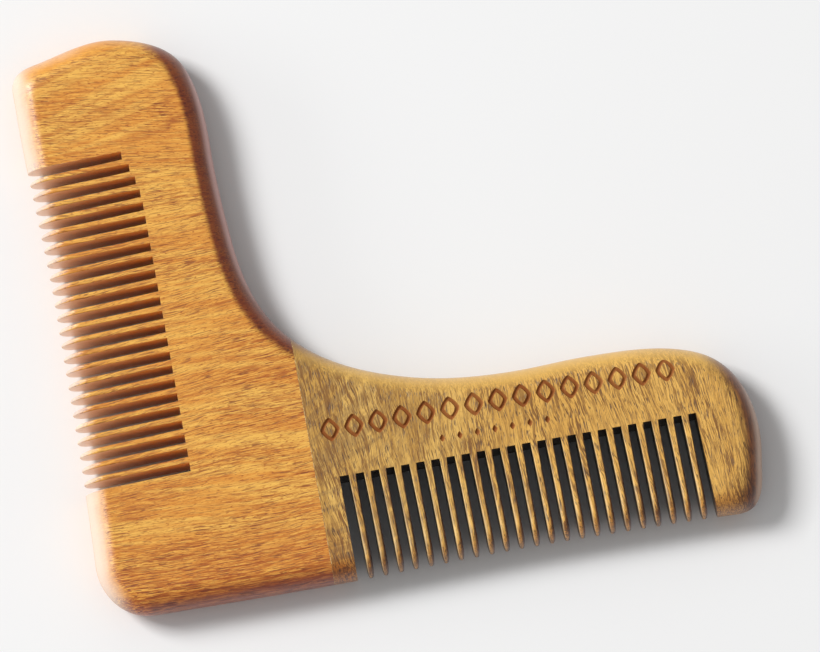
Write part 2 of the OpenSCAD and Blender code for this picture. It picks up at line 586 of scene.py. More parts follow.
LEVEL_ROW = ToothRow(
    origin=(0, -33.75), row=(1, 0), out=(0, -1), pitch=2.76, growth=0, first=-12.71,
    leans=(0.8, 1.2), root_width=1.25, width=1.1, tip_width=0.4, tip_length=1.8,
    walls=(-15.03, 50), wall_leans=(0, 2.1), tip_range=(15.0, 17.0), short_slot=0,
    arris=0.18, arris_growth=0.3, seed=4)
UPRIGHT_ROW = ToothRow(
    origin=(-41.1, 0), row=(0, -1), out=(-1, 0), pitch=2.465, growth=0.0024, first=-29.43,
    leans=(2, 2), root_width=1.05, width=0.9, tip_width=0.3, tip_length=3.6,
    walls=(-31.4, 28.1), wall_leans=(1.6, 1.6), tip_range=(-0.99, 0.99), short_slot=2.3,
    arris=0.1, arris_growth=0.15, seed=9)


# ---------------------------------------------------------------- geometry node pieces

class Rule:
    """A geometry node tree with named inputs, run once to give a plain mesh."""

    def __init__(self, name: str) -> None:
        """Start an empty tree that takes and gives a geometry.

        Args:
            name: The tree's name.
        """
        self.name = name
        self.tree = bpy.data.node_groups.new(name, "GeometryNodeTree")
        self.graph = Graph(self.tree)
        self.values: dict[str, Any] = {}
        self._socket("Geometry", "NodeSocketGeometry", "INPUT")
        self._socket("Geometry", "NodeSocketGeometry", "OUTPUT")
        self.entry = self.tree.nodes.new("NodeGroupInput")

    def _socket(self, name: str, kind: str, way: str) -> str:
        """Add one socket to the tree and return its identifier."""
        return self.tree.interface.new_socket(name=name, in_out=way, socket_type=kind).identifier

    def size(self, name: str, value: Any) -> Link:
        """Add a named input.

        Args:
            name: The input's name.
            value: A number, a whole number, a vector or a material.

        Returns:
            The input inside the tree.
        """
        kind = ("NodeSocketMaterial" if isinstance(value, bpy.types.Material)
                else "NodeSocketInt" if isinstance(value, int)
                else "NodeSocketVector" if isinstance(value, (tuple, Vector))
                else "NodeSocketFloat")
        identifier = self._socket(name, kind, "INPUT")
        self.values[identifier] = value
        return Link(self.graph, self.entry.outputs[name])

    def geometry(self) -> Link:
        """Return the geometry that comes in."""
        return Link(self.graph, self.entry.outputs["Geometry"])

    def stored(self, name: str, kind: str = "FLOAT") -> Link:
        """Return a named attribute as a field."""
        return self.graph.node("GeometryNodeInputNamedAttribute", {"data_type": kind},
                               {"Name": name}, "Attribute")

    def store(self, geometry: Link, name: str, value: Link, kind: str = "FLOAT") -> Link:
        """Write a named attribute on the points.

        Args:
            geometry: The geometry to write on.
            name: The attribute's name.
            value: The field to write.
            kind: The attribute's type.

        Returns:
            The geometry with the attribute.
        """
        return self.graph.node("GeometryNodeStoreNamedAttribute",
                               {"data_type": kind, "domain": "POINT"},
                               {"Geometry": geometry, "Name": name, "Value": value})

    def unit_grid(self, steps_u: int, steps_v: int) -> Link:
        """Make a grid that keeps its own 0 to 1 coordinates as the attribute "unit".

        Args:
            steps_u: Faces along the first direction.
            steps_v: Faces along the second.

        Returns:
            The grid.
        """
        graph = self.graph
        grid = graph.node("GeometryNodeMeshGrid", None,
                          {"Size X": 1.0, "Size Y": 1.0, "Vertices X": steps_u + 1,
                           "Vertices Y": steps_v + 1})
        here = graph.node("GeometryNodeInputPosition")
        return self.store(grid, "unit", graph.move("ADD", here, (0.5, 0.5, 0.0)), "FLOAT_VECTOR")

    def repeat(self, shape: Link, points: Link) -> Link:
        """Copy a shape.

        Args:
            shape: The shape.
            points: Where the copies go.

        Returns:
            One real copy for each point.
        """
        spread = self.graph.node("GeometryNodeInstanceOnPoints", None,
                                 {"Points": points, "Instance": shape})
        return self.graph.node("GeometryNodeRealizeInstances", None, {0: spread})

    def finish(self, geometry: Link, position: Link, material: Link) -> None:
        """Place the points, weld them, and close the tree.

        Args:
            geometry: The copies, already real.
            position: Where each point goes, in metres.
            material: The material input.
        """
        graph = self.graph
        placed = graph.node("GeometryNodeSetPosition", None,
                            {"Geometry": geometry, "Position": position})
        welded = graph.node("GeometryNodeMergeByDistance", None,
                            {"Geometry": placed, "Distance": WELD})
        real = graph.node("GeometryNodeRealizeInstances", None, {0: welded})
        dressed = graph.node("GeometryNodeSetMaterial", None,
                             {"Geometry": real, "Material": material})
        exit_node = self.tree.nodes.new("NodeGroupOutput")
        self.tree.links.new(dressed.socket, exit_node.inputs["Geometry"])

    def run(self, base: bpy.types.Mesh) -> bpy.types.Mesh:
        """Run the tree on a mesh.

        Args:
            base: The mesh that comes in.

        Returns:
            The plain mesh that comes out.
        """
        carrier = put(self.name, base)
        modifier = carrier.modifiers.new(self.name, "NODES")
        modifier.node_group = self.tree
        for identifier, value in self.values.items():
            modifier[identifier] = value
        mesh = plain_mesh(carrier)
        bpy.data.objects.remove(carrier)
        return mesh


class Teeth:
    """The teeth of one row: a sawn blank with eased arrises that runs out in a rounded tip."""

    straight_share = 0.4
    stations = 30
    per_corner = 5
    tip_cap = 0.45
    flattest = 0.96

    def __init__(self, row: ToothRow, material: bpy.types.Material) -> None:
        """Keep the row and the finish."""
        self.row = row
        self.material = material

    def rail(self) -> bpy.types.Mesh:
        """Set out the row.

        Returns:
            A mesh of one point a tooth, with the facts of that tooth on it.
        """
        row = self.row
        mesh = bpy.data.meshes.new("rail")
        mesh.from_pydata([(row.middle(j), 0, 0) for j in range(row.teeth)], [], [])
        facts: dict[str, Callable[[int], float]] = {
            "along": row.middle,
            "lean": lambda j: math.radians(row.lean(j)),
            "depth_end": row.tip_depth,
            "start_low": row.slot_start,
            "start_high": lambda j: row.slot_start(j + 1),
        }
        for name, fact in facts.items():
            attribute = mesh.attributes.new(name, "FLOAT", "POINT")
            attribute.data.foreach_set("value", [fact(j) for j in range(row.teeth)])
        return mesh

    def build(self) -> bpy.types.Mesh:
        """Make the row.

        Returns:
            One mesh, open where each tooth meets its board.
        """
        row, rule = self.row, Rule("tooth_row")
        graph = rule.graph
        root_width = rule.size("Root width", row.root_width)
        body_width = rule.size("Body width", row.width)
        tip_width = rule.size("Tip width", row.tip_width)
        tip_length = rule.size("Tip length", row.tip_length)
        root_ease = rule.size("Root ease", row.root_ease)
        arris = rule.size("Arris", row.arris)
        arris_growth = rule.size("Arris growth", row.arris_growth)
        reach = rule.size("Edge reach", OUTLINE.knots[0].reach)
        half = rule.size("Half thickness", OUTLINE.thickness / 2)
        wander = rule.size("Wander", row.wander)
        seed = rule.size("Seed", row.seed)
        origin = rule.size("Origin", (*row.origin, 0.0))
        along_axis = rule.size("Row direction", (*row.row, 0.0))
        out_axis = rule.size("Out direction", (*row.out, 0.0))
        material = rule.size("Material", self.material)

        # One point for each tooth, with a unit sheet to wrap round it.
        drift = graph.node("FunctionNodeRandomValue", {"data_type": "FLOAT"},
                           {2: -1.0, 3: 1.0, "Seed": seed}, 1)
        points = rule.store(rule.geometry(), "drift", drift)
        around = 4 * self.per_corner
        shape = rule.unit_grid(self.stations, around)
        real = rule.repeat(shape, points)

        # Round the section the sheet goes from corner to corner, each eased by an arris.
        u, v, _ = graph.split(rule.stored("unit", "FLOAT_VECTOR"))
        knot = (v * around + 0.5).floor() % float(around)
        corner = (knot / self.per_corner + 0.001).floor()
        share = (knot - corner * self.per_corner) / (self.per_corner - 1)
        side = 1 - 2 * (abs(corner - 1.5) < 1.0)
        above = 1 - 2 * (corner > 1.5)
        angle = (corner + share) * (math.pi / 2)

        # Outwards it runs straight, then bends round as the board's own edge does.
        end = rule.stored("depth_end")
        low, high = rule.stored("start_low"), rule.stored("start_high")
        start = low + (high - low) * (side * 0.5 + 0.5)
        straight = (u / self.straight_share).held()
        bend = ((u - self.straight_share) / (1 - self.straight_share)).held() * (math.pi / 2)
        depth = start + (end - reach - start) * straight + reach * bend.sin()
        height = half * bend.cos()

        # The tooth is widest at its root and is drawn in to its tip.
        spread = (root_width - body_width) * (1 - depth / root_ease).most(0.0)
        into_tip = ((depth - end + tip_length) / tip_length).held()
        into_end = ((depth - end + self.tip_cap) / self.tip_cap).held()
        width = tip_width + (body_width + spread - tip_width) * (1 - into_tip * into_tip).root()
        half_width = width * 0.5 * (1 - into_end * into_end).root()
        softening = arris * (depth - start).held() + arris_growth * (straight ** 2)
        radius = softening.least(half_width * self.flattest).least(height * self.flattest)

        # Each point goes to its place in the row.
        across = side * (half_width - radius) + radius * angle.cos()
        up = above * (height - radius) + radius * angle.sin() + half
        sway = rule.stored("drift") * wander * straight * straight
        along = (rule.stored("along") + depth * rule.stored("lean").tan()
                 + across + sway)
        place = graph.move("ADD", origin, graph.move("SCALE", along_axis, Scale=along))
        place = graph.move("ADD", place, graph.move("SCALE", out_axis, Scale=depth))
        place = graph.move("ADD", place, graph.vector(0.0, 0.0, up))
        rule.finish(real, graph.move("SCALE", place, Scale=MM), material)
        return rule.run(self.rail())


class Motif(Enum):
    """The two engraved shapes."""

    LOZENGE = "outlined lozenge"
    DIAMOND = "small diamond"


@dataclass(frozen=True)
class EngravedRow:
    """A row of one engraved motif, as closed cutters that sink into the top face."""

    motif: Motif
    count: int
    ends: Point2
    height: float
    size: Point2
    line: float = 0.55
    depth: float = 0.4
    wall: float = 0.14
    lift: float = 0.3
    bow: float = 1.3
    slant: float = 0.8
    press: Point2 = (0.85, 1.1)
    seed: int = 3
    steps_around: int = 48
    steps_across: int = 8

    def build(self, material: bpy.types.Material) -> bpy.types.Object:
        """Make the row of cutters.

        Args:
            material: The finish of the cut.

        Returns:
            An object for a boolean cut.
        """
        rule = Rule("engraved_row")
        graph = rule.graph
        count = rule.size("Count", self.count)
        first = rule.size("First centre", (self.ends[0], self.height, 0.0))
        step = rule.size("Step", ((self.ends[1] - self.ends[0]) / (self.count - 1), 0.0, 0.0))
        half_x = rule.size("Half width", self.size[0] / 2)
        half_y = rule.size("Half height", self.size[1] / 2)
        line = rule.size("Line width", self.line)
        sink = rule.size("Depth", self.depth)
        wall = rule.size("Wall", self.wall)
        lift = rule.size("Lift", self.lift)
        bow = rule.size("Bow", self.bow)
        top = rule.size("Top face", OUTLINE.thickness)
        seed = rule.size("Seed", self.seed)
        finish = rule.size("Material", material)

        # One point for each motif, pressed in a little more or less than the next.
        line_mesh = graph.node("GeometryNodeMeshLine", {"mode": "OFFSET"},
                               {"Count": count, "Start Location": first, "Offset": step})
        here = graph.node("GeometryNodeInputPosition")
        points = rule.store(line_mesh, "centre", here, "FLOAT_VECTOR")
        press = graph.node("FunctionNodeRandomValue", {"data_type": "FLOAT"},
                           {2: self.press[0], 3: self.press[1], "Seed": seed}, 1)
        points = rule.store(points, "press", press)
        outlined = self.motif is Motif.LOZENGE
        rows = self.steps_across + (3 if outlined else 2)
        real = rule.repeat(rule.unit_grid(self.steps_around, rows), points)

        # Round the motif: a diamond whose sides are slightly bowed.
        u, v, _ = graph.split(rule.stored("unit", "FLOAT_VECTOR"))
        angle = u * (2 * math.pi)
        cosine, sine = angle.cos(), angle.sin()
        bulge = (abs(cosine) ** bow + abs(sine) ** bow) ** (-1.0 / bow)
        # Across the groove: its floor from side to side, and a lid above the top face.
        knot = (v * rows + 0.5).floor()
        knot = knot % float(rows) if outlined else knot
        lifted = knot > self.steps_across + 0.5
        far = knot > self.steps_across + 1.5
        share = (knot / self.steps_across).least(1.0)
        if outlined:
            across = (1 - far) * (share * 2 - 1) - far
            slant = (across - 1) * line * self.slant
            reach_x, reach_y = half_x + slant, half_y + slant
        else:
            across = (1 - far) * share
            reach_x, reach_y = half_x * across, half_y * across
        trough = wall + (sink - wall) * (1 - abs(across) ** 3.0)
        rise = lifted * lift - (1 - lifted) * trough * rule.stored("press")
        place = graph.move("ADD", rule.stored("centre", "FLOAT_VECTOR"),
                           graph.vector(reach_x * bulge * cosine, reach_y * bulge * sine,
                                        top + rise))
        rule.finish(real, graph.move("SCALE", place, Scale=MM), finish)
        mesh = rule.run(bpy.data.meshes.new("blank"))
        work = bmesh.new()
        work.from_mesh(mesh)
        bmesh.ops.recalc_face_normals(work, faces=work.faces)
        work.to_mesh(mesh)
        work.free()
        return put("cutter", mesh)


# ---------------------------------------------------------------- meshes

class Region:
    """A flat region bounded by loops: a point is in it when an odd number of loops hold it."""

    def __init__(self, loops: Sequence[Sequence[Point2]]) -> None:
        """Keep the loops."""
        self.loops = loops

    def holds(self, x: float, y: float) -> bool:
        """Tell whether a point is in the region.

        Args:
            x: The point's first coordinate.
            y: The point's second coordinate.

        Returns:
            Whether the region covers it.
        """
        odd = False
        for loop in self.loops:
            for (ax, ay), (bx, by) in zip(loop, [*loop[1:], loop[0]]):
                if (ay > y) != (by > y) and x < ax + (y - ay) * (bx - ax) / (by - ay):
                    odd = not odd
        return odd


class Shell:
    """A board's mesh under construction, in millimetres until it is finished."""

    def __init__(self) -> None:
        """Start empty."""
        self.work = bmesh.new()

    def vert(self, point: Point3) -> bmesh.types.BMVert:
        """Add a vertex."""
        return self.work.verts.new(Vector(point) * MM)

    def polygon(self, points: Sequence[Point3]) -> None:
        """Add one flat face."""
        self.work.faces.new([self.vert(p) for p in points])

    def skin(self, lines: Sequence[Sequence[Point3]]) -> None:
        """Add a sheet of quads.

        Args:
            lines: Lines of points, all of one length, that the sheet runs between.
        """
        grid = [[self.vert(p) for p in line] for line in lines]
        for a, b in zip(grid, grid[1:]):
            for k in range(len(a) - 1):
                self.work.faces.new((a[k], b[k], b[k + 1], a[k + 1]))

    def fill(self, loops: Sequence[Sequence[Point2]],
             place: Callable[[float, float], Point3]) -> None:
        """Fill a flat region with holes.

        Args:
            loops: The region's outer loop and its holes and islands.
            place: Turns a point of the flat region into one in space.
        """
        points = [Vector(p) for loop in loops for p in loop]
        edges, base = [], 0
        for loop in loops:
            edges += [(base + k, base + (k + 1) % len(loop)) for k in range(len(loop))]
            base += len(loop)
        verts, _, faces, *_ = delaunay_2d_cdt(points, edges, [], 0, 1e-7)
        made = [self.vert(place(v.x, v.y)) for v in verts]
        region = Region(loops)
        for face in faces:
            middle = sum((verts[k] for k in face), Vector((0, 0))) / len(face)
            if region.holds(middle.x, middle.y):
                self.work.faces.new([made[k] for k in face])

    def finish(self, name: str, material: bpy.types.Material,
               cutters: Sequence[bpy.types.Object] = (),
               crisp: Callable[[Point3], bool] = lambda point: False) -> bpy.types.Object:
        """Weld the mesh, cut it and put it in the scene.

        Args:
            name: The piece's name.
            material: Its finish.
            cutters: Closed shapes to cut out of it, which bring their own finish.
            crisp: Tells where even slight edges stay sharp.

        Returns:
            The piece.
        """
        self.close()
        for face in self.work.faces:
            face.material_index = 0
        mesh = bpy.data.meshes.new(name)
        self.work.to_mesh(mesh)
        mesh.materials.append(material)
        piece = put(name, mesh)
        for cutter in cutters:
            cut = piece.modifiers.new("cut", "BOOLEAN")
            cut.operation, cut.solver = "DIFFERENCE", "EXACT"
            cut.material_mode = "TRANSFER"
            cut.object = cutter
        if cutters:
            piece.data = plain_mesh(piece)
            for cutter in cutters:
                bpy.data.objects.remove(cutter)
            self.work.clear()
            self.work.from_mesh(piece.data)
            self.close()
        open_edges = self.crease(crisp)
        self.work.to_mesh(piece.data)
        self.work.free()
        even = piece.modifiers.new("even_shading", "WEIGHTED_NORMAL")
        even.mode, even.weight, even.keep_sharp = "FACE_AREA", 50, True
        piece.data = plain_mesh(piece)
        piece.data.name = name
        LOG.info("%s: %d faces, %d open edges", name, len(piece.data.polygons), open_edges)
        return piece

    def close(self) -> None:
        """Weld the points, turn the faces outwards and split the large ones."""
        bmesh.ops.remove_doubles(self.work, verts=self.work.verts, dist=WELD)
        bmesh.ops.dissolve_degenerate(self.work, edges=self.work.edges, dist=WELD / 4)
        bmesh.ops.recalc_face_normals(self.work, faces=self.work.faces)
        bmesh.ops.triangulate(self.work, faces=[f for f in self.work.faces if len(f.verts) > 4])

    def crease(self, crisp: Callable[[Point3], bool], angle: float = 35.0,
               crisp_angle: float = 8.0) -> int:
        """Smooth the faces and keep edges over an angle sharp.

        Args:
            crisp: Tells where a point asks for the smaller angle.
            angle: The angle in degrees.
            crisp_angle: The smaller angle.

        Returns:
            How many edges don't join two faces.
        """
        open_edges = 0
        for face in self.work.faces:
            face.smooth = True
        for edge in self.work.edges:
            if len(edge.link_faces) == 2:
                near = any(crisp(tuple(vert.co / MM)) for vert in edge.verts)
                limit = crisp_angle if near else angle
                edge.smooth = edge.calc_face_angle(0) < math.radians(limit)
            else:
                open_edges += 1
        return open_edges


# ---------------------------------------------------------------- sub-assemblies

@dataclass(frozen=True)
class Seam:
    """The glued joint between the boards, square to X, with two blind dowel bores.

    The ranges are the places of the outline between which the joint meets the edge.
    """

    x: float = -19.2
    glue: float = 0.1
    bore: float = 4.0
    bore_depth: float = 8.0
    bore_heights: Point2 = (-19.5, -29.0)
    bore_steps: int = 48
    top_range: Point2 = (8.0, 9.0)
    bottom_range: Point2 = (16.5, 17.5)

    def cut(self, side: int) -> Cut:
        """Return the left (-1) or right (1) face of the glue as a cut."""
        return Cut(self.x + side * self.glue / 2, 0, 90)

    def rings(self) -> list[list[Point2]]:
        """List the bores' rims.

        Returns:
            Loops of (y, z).
        """
        middle = OUTLINE.thickness / 2
        turns = [2 * math.pi * k / self.bore_steps for k in range(self.bore_steps)]
        return [[(height + self.bore / 2 * math.cos(t), middle + self.bore / 2 * math.sin(t))
                 for t in turns] for height in self.bore_heights]

    def face(self, shell: Shell, side: int, top_line: Sequence[Point3],
             bottom_line: Sequence[Point3]) -> None:
        """Add a board's glued face.

        Args:
            shell: The board.
            side: -1 for the left board, 1 for the right.
            top_line: The board's edge line at the upper end of the seam.
            bottom_line: The edge line at the lower end.
        """
        x = self.x + side * self.glue / 2
        outer = ([(p[1], p[2]) for p in top_line]
                 + [(p[1], p[2]) for p in reversed(bottom_line)])
        shell.fill([outer, *self.rings()], lambda y, z: (x, y, z))

    def bores(self, shell: Shell, side: int) -> None:
        """Sink the two blind bores into a board.

        Args:
            shell: The board.
            side: -1 for the left board, 1 for the right.
        """
        mouth, end = self.x + side * self.glue / 2, self.x + side * self.bore_depth
        for ring in self.rings():
            closed = [*ring, ring[0]]
            shell.skin([[(x, y, z) for y, z in closed] for x in (mouth, end)])
            shell.polygon([(end, y, z) for y, z in ring])


@dataclass
class Board:
    """One board of the comb: its rounded edge, its faces, its walls and its row of teeth."""

    name: str
    node: str
    slot: str
    row: ToothRow
    side: int
    finish: "Wood"
    seam: Seam = Seam()
    engraving: Sequence[EngravedRow] = ()

    def spans(self) -> tuple[Span, Span]:
        """Split the rounded edge at the tooth row.

        Returns:
            The edge before the row and after it, in walking order.
        """
        cut, seam = self.seam.cut(self.side), self.seam
        if self.side < 0:
            return (Span(cut, seam.bottom_range, self.row.wall_cut(True), (19.0, 20.0)),
                    Span(self.row.wall_cut(False), (0.0, 1.0), cut, seam.top_range))
        return (Span(cut, seam.top_range, self.row.wall_cut(True), (14.5, 16.0)),
                Span(self.row.wall_cut(False), (16.0, 17.0), cut, seam.bottom_range))

    def faces(self, shell: Shell, before: Sequence[Sequence[Point3]],
              after: Sequence[Sequence[Point3]]) -> None:
        """Add the flat faces, the slots' walls and the glued face.

        Args:
            shell: The board.
            before: The edge's lines before the tooth row.
            after: The edge's lines after it.
        """
        row, top = self.row, OUTLINE.thickness
        slots = row.slots()
        for last, line in ((True, before[-1]), (False, after[0])):
            corner = row.place(*row.wall_corner(last))
            shell.polygon([*line, (*corner, top), (*corner, 0.0)])
        for a, b in slots:
            shell.polygon([(*a, 0.0), (*b, 0.0), (*b, top), (*a, top)])
        roots = [point for slot in reversed(slots) for point in reversed(slot)]
        plan = [line[-1][:2] for line in before] + roots + [line[-1][:2] for line in after]
        for height in (0.0, top):
            shell.fill([plan], lambda x, y: (x, y, height))
        ends = (after[-1], before[0]) if self.side < 0 else (before[0], after[-1])
        self.seam.face(shell, self.side, *ends)
        self.seam.bores(shell, self.side)

    def build(self) -> bpy.types.Object:
        """Make the board, dress it and tie it to the frame.

        Returns:
            The piece.
        """
        shell = Shell()
        wood = self.finish.build()
        before, after = (span.lines() for span in self.spans())
        shell.skin(before)
        shell.skin(after)
        self.faces(shell, before, after)
        shell.work.from_mesh(Teeth(self.row, wood).build())
        scorch = Scorch().build() if self.engraving else wood
        piece = shell.finish(self.name, wood, [row.build(scorch) for row in self.engraving],
                             self.row.near_root)
        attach(piece, "root")
        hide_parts(self.node)
        return piece


@dataclass
class GlueFilm:
    """The film of glue between the boards, level with them all round and open at the dowels."""

    name: str = "glue_film"
    seam: Seam = Seam()

    def build(self) -> bpy.types.Object:
        """Make the film, dress it and tie it to the frame.

        Returns:
            The piece.
        """
        shell = Shell()
        seam = self.seam
        top = Span(seam.cut(-1), seam.top_range, seam.cut(1), seam.top_range).lines()
        bottom = Span(seam.cut(1), seam.bottom_range, seam.cut(-1), seam.bottom_range).lines()
        shell.skin(top)
        shell.skin(bottom)
        seam.face(shell, -1, top[0], bottom[-1])
        seam.face(shell, 1, top[-1], bottom[0])
        for height in (0.0, OUTLINE.thickness):
            end = -1 if height else 0
            shell.polygon([(*line[end][:2], height) for line in top]
                          + [(*line[end][:2], height) for line in bottom])
        for ring in seam.rings():
            closed = [*ring, ring[0]]
            shell.skin([[(seam.x + side * seam.glue / 2, y, z) for y, z in closed]
                        for side in (-1, 1)])
        piece = shell.finish(self.name, Glue().build())
        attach(piece, "root")
        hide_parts("glue_line")
        return piece


# ---------------------------------------------------------------- finishes

def start_material(name: str) -> tuple[bpy.types.Material, Graph, bpy.types.Node]:
    """Start a material.

    Args:
        name: The material's name.

    Returns:
        The material, its graph and its shader node.
    """
    material = bpy.data.materials.new(name)
    material.use_nodes = True
    return material, Graph(material.node_tree), material.node_tree.nodes["Principled BSDF"]


def plug(graph: Graph, shader: bpy.types.Node, inputs: dict[str, Any]) -> None:
    """Set a shader's sockets.

    Args:
        graph: The material's graph.
        shader: Its shader node.
        inputs: Socket name to a value or a link.
    """
    for name, value in inputs.items():
        if isinstance(value, Link):
            graph.tree.links.new(value.socket, shader.inputs[name])
        elif isinstance(value, tuple) and len(value) == 3:
            shader.inputs[name].default_value = (*value, 1.0)
        else:
            shader.inputs[name].default_value = value


def place_mm(graph: Graph) -> Link:
    """Return the object position in millimetres."""
    spot = graph.node("ShaderNodeTexCoord", None, None, "Object")
    return graph.move("SCALE", spot, Scale=1 / MM)


def noise(graph: Graph, vector: Link, detail: float = 2.0, roughness: float = 0.5) -> Link:
    """Add a noise of unit scale.

    Args:
        graph: The material's graph.
        vector: Where it is read.
        detail: How many finer layers it has.
        roughness: How strong each finer layer is.

    Returns:
        The noise, about 0 to 1.
    """
    return graph.node("ShaderNodeTexNoise", {"noise_dimensions": "3D"},
                      {"Vector": vector, "Scale": 1.0, "Detail": detail,
                       "Roughness": roughness}, 0)


@dataclass(frozen=True)
class Spot:
    """A point of a surface: where it is, in millimetres, and which way it faces."""

    x: Link
    y: Link
    z: Link
    normal: Link
    north: Link
    up: Link

    def facing(self, direction: Point3) -> Link:
        """Return how squarely the surface faces a direction, from -1 to 1."""
        return self.normal.graph.node("ShaderNodeVectorMath", {"operation": "DOT_PRODUCT"},
                                      {0: self.normal, 1: direction}, "Value")


def survey(graph: Graph) -> Spot:
    """Read the surface.

    Args:
        graph: The material's graph.

    Returns:
        The point that is shaded.
    """
    normal = graph.node("ShaderNodeNewGeometry", None, None, "Normal")
    _, north, up = graph.split(normal)
    return Spot(*graph.split(place_mm(graph)), normal, north, up)


@dataclass(frozen=True)
class Wood:
    """What both woods share: an oiled surface over long fibres and short pores, with painted
    light and shade.
    """

    name: str
    row: ToothRow
    roughness: float = 0.42
    coat: float = 0.3
    coat_roughness: float = 0.28
    specular: float = 0.45
    sheen: float = 0.03
    sheen_roughness: float = 0.4
    bump: float = 0.35
    # painted_sheen: a painted highlight, a pale colour on the edges that face away from
    # shade_side, towards the light.
    painted_sheen_strength: float = 0.5
    painted_sheen: Colour = srgb(238, 230, 222)
    base: Colour = srgb(220, 156, 70)
    light: Colour = srgb(246, 190, 84)
    calming: float = 0.3
    # crest_highlight: painted light on the rounded edges that face +Y.
    crest_highlight: float = 0.0
    # Painted light and shade in the slots: the slot ends near the root, and the walls by depth.
    painted_slot_end: Colour = srgb(244, 212, 164)
    # Painted shade on the edges that face shade_side, away from the light; the same brown darkens
    # the grain's pores on slot walls.
    shade_and_pore_brown: Colour = srgb(140, 84, 50)
    # Painted reflection of the floor on the outermost rim of the shaded edges.
    rim_reflection: Colour = srgb(205, 156, 148)
    painted_wall_root: Colour = srgb(190, 84, 34)
    painted_wall_tip: Colour = srgb(250, 170, 120)
    wall_depth: float = 18.0
    tooth_shade: float = 1.0
    shade_range: Point2 = (0.05, 0.34)
    shade_side: Point3 = (0.98, -0.2, 0.0)

    def figure(self, graph: Graph, x: Link, y: Link, z: Link) -> tuple[Link, Link]:
        """Return the wood's colour and its height; each wood lays its own."""
        raise NotImplementedError

    def paint_edges(self, graph: Graph, spot: Spot, colour: Link) -> tuple[Link, Link]:
        """Calm the grain on the rounded edges, and paint their shade, reflection and highlights.

        Args:
            graph: The material's graph.
            spot: The point that is shaded.
            colour: The figure's colour.

        Returns:
            The colour, and how calm the surface is.
        """
        # How squarely the surface faces shade_side, away from the light; pale is the side towards
        # the light.
        facing_shade = spot.facing(self.shade_side)
        wander = noise(graph, graph.vector(spot.x * 0.3, spot.y * 0.3, spot.z * 0.3), 2.0) - 0.5
        among = self.row.among(spot.x, spot.y)
        edge_shade_share = 1 - among * (1 - self.tooth_shade)
        upper = spot.up.ease(-0.1, 0.25)
        calm = (1 - spot.up).ease(0.02, 0.4) * upper * (1 - among) * spot.north.ease(-0.6, -0.2)
        pale = 0 - facing_shade + wander * 0.2
        colour = graph.blend(calm * self.calming, colour, self.base)
        colour = graph.blend(pale.ease(0.0, 0.2) * calm.ease(0.0, 0.2) * 0.6, colour, self.base)
        # Painted light: the edges that face +Y are lifted toward the light colour.
        colour = graph.blend(spot.north.ease(0.1, 0.7) * upper * self.crest_highlight, colour, self.light)
        # Painted shade on the edges that face away from the light.
        colour = graph.blend((facing_shade + wander * 0.1).ease(*self.shade_range) * edge_shade_share * 0.95,
                             colour, self.shade_and_pore_brown, "MULTIPLY")
        # Painted reflection of the floor on the outer rim of the shaded edges.
        colour = graph.blend(facing_shade.ease(0.7, 0.93) * spot.up.ease(-0.3, 0.1) * (1 - among)
                             * 0.85, colour, self.rim_reflection)
        # Painted shade on the teeth's sides that face away from the light.
        colour = graph.blend(facing_shade.ease(0.1, 0.6) * among * self.tooth_shade * 0.4,
                             colour, self.shade_and_pore_brown, "MULTIPLY")
        # Painted sheen: the edges that face the light are laid pale, as a painted highlight.
        colour = graph.blend(pale.ease(0.15, 0.9) * (upper * 0.9 + 0.1) * self.painted_sheen_strength,
                             colour, self.painted_sheen)
        return colour, calm

    def paint_slots(self, graph: Graph, spot: Spot, colour: Link, relief: Link) -> Link:
        """Paint light and shade on the slots' walls and their ends.

        Args:
            graph: The material's graph.
            spot: The point that is shaded.
            colour: The colour so far.
            relief: The figure's height.

        Returns:
            The colour.
        """
        among = self.row.among(spot.x, spot.y)
        outward = spot.facing((*self.row.out, 0.0))
        depth = self.row.depth_at(spot.x, spot.y)
        # Painted shade and light on the walls, from painted_wall_root at the root to
        # painted_wall_tip outwards; the grain's pores stay darker.
        reach = (depth / self.wall_depth).held()
        wall = graph.blend(reach * reach, self.painted_wall_root, self.painted_wall_tip)
        wall = graph.blend((1 - relief) * 0.3, wall, self.shade_and_pore_brown, "MULTIPLY")
        sawn = among * (1 - abs(spot.up)).ease(0.75, 0.95) * (1 - outward.ease(0.35, 0.75))
        colour = graph.blend(sawn * 0.85, colour, wall)
        # Painted slot ends near the root: a painted highlight on the upright board, painted shade
        # on the level board.
        ends = among * outward.ease(0.7, 0.9) * (depth < 2.5)
        return graph.blend(ends * 0.9, colour, self.painted_slot_end)

    def build(self) -> bpy.types.Material:
        """Make the material.

        Returns:
            The material.
        """
        material, graph, shader = start_material(self.name)
        spot = survey(graph)
        colour, relief = self.figure(graph, spot.x, spot.y, spot.z)
        colour, calm = self.paint_edges(graph, spot, colour)
        bump = graph.node("ShaderNodeBump", None,
                          {"Strength": self.bump, "Distance": 0.0002,
                           "Height": relief * (1 - calm * 0.9)})
        plug(graph, shader, {
            "Base Color": self.paint_slots(graph, spot, colour, relief),
            "Roughness": (self.roughness + (relief - 0.5) * -0.15).held(),
            "Coat Weight": self.coat,
            "Coat Roughness": self.coat_roughness,
            "Specular IOR Level": self.specular,
            "Sheen Weight": self.sheen,
            "Sheen Roughness": self.sheen_roughness,
            "Normal": bump,
        })
        return material


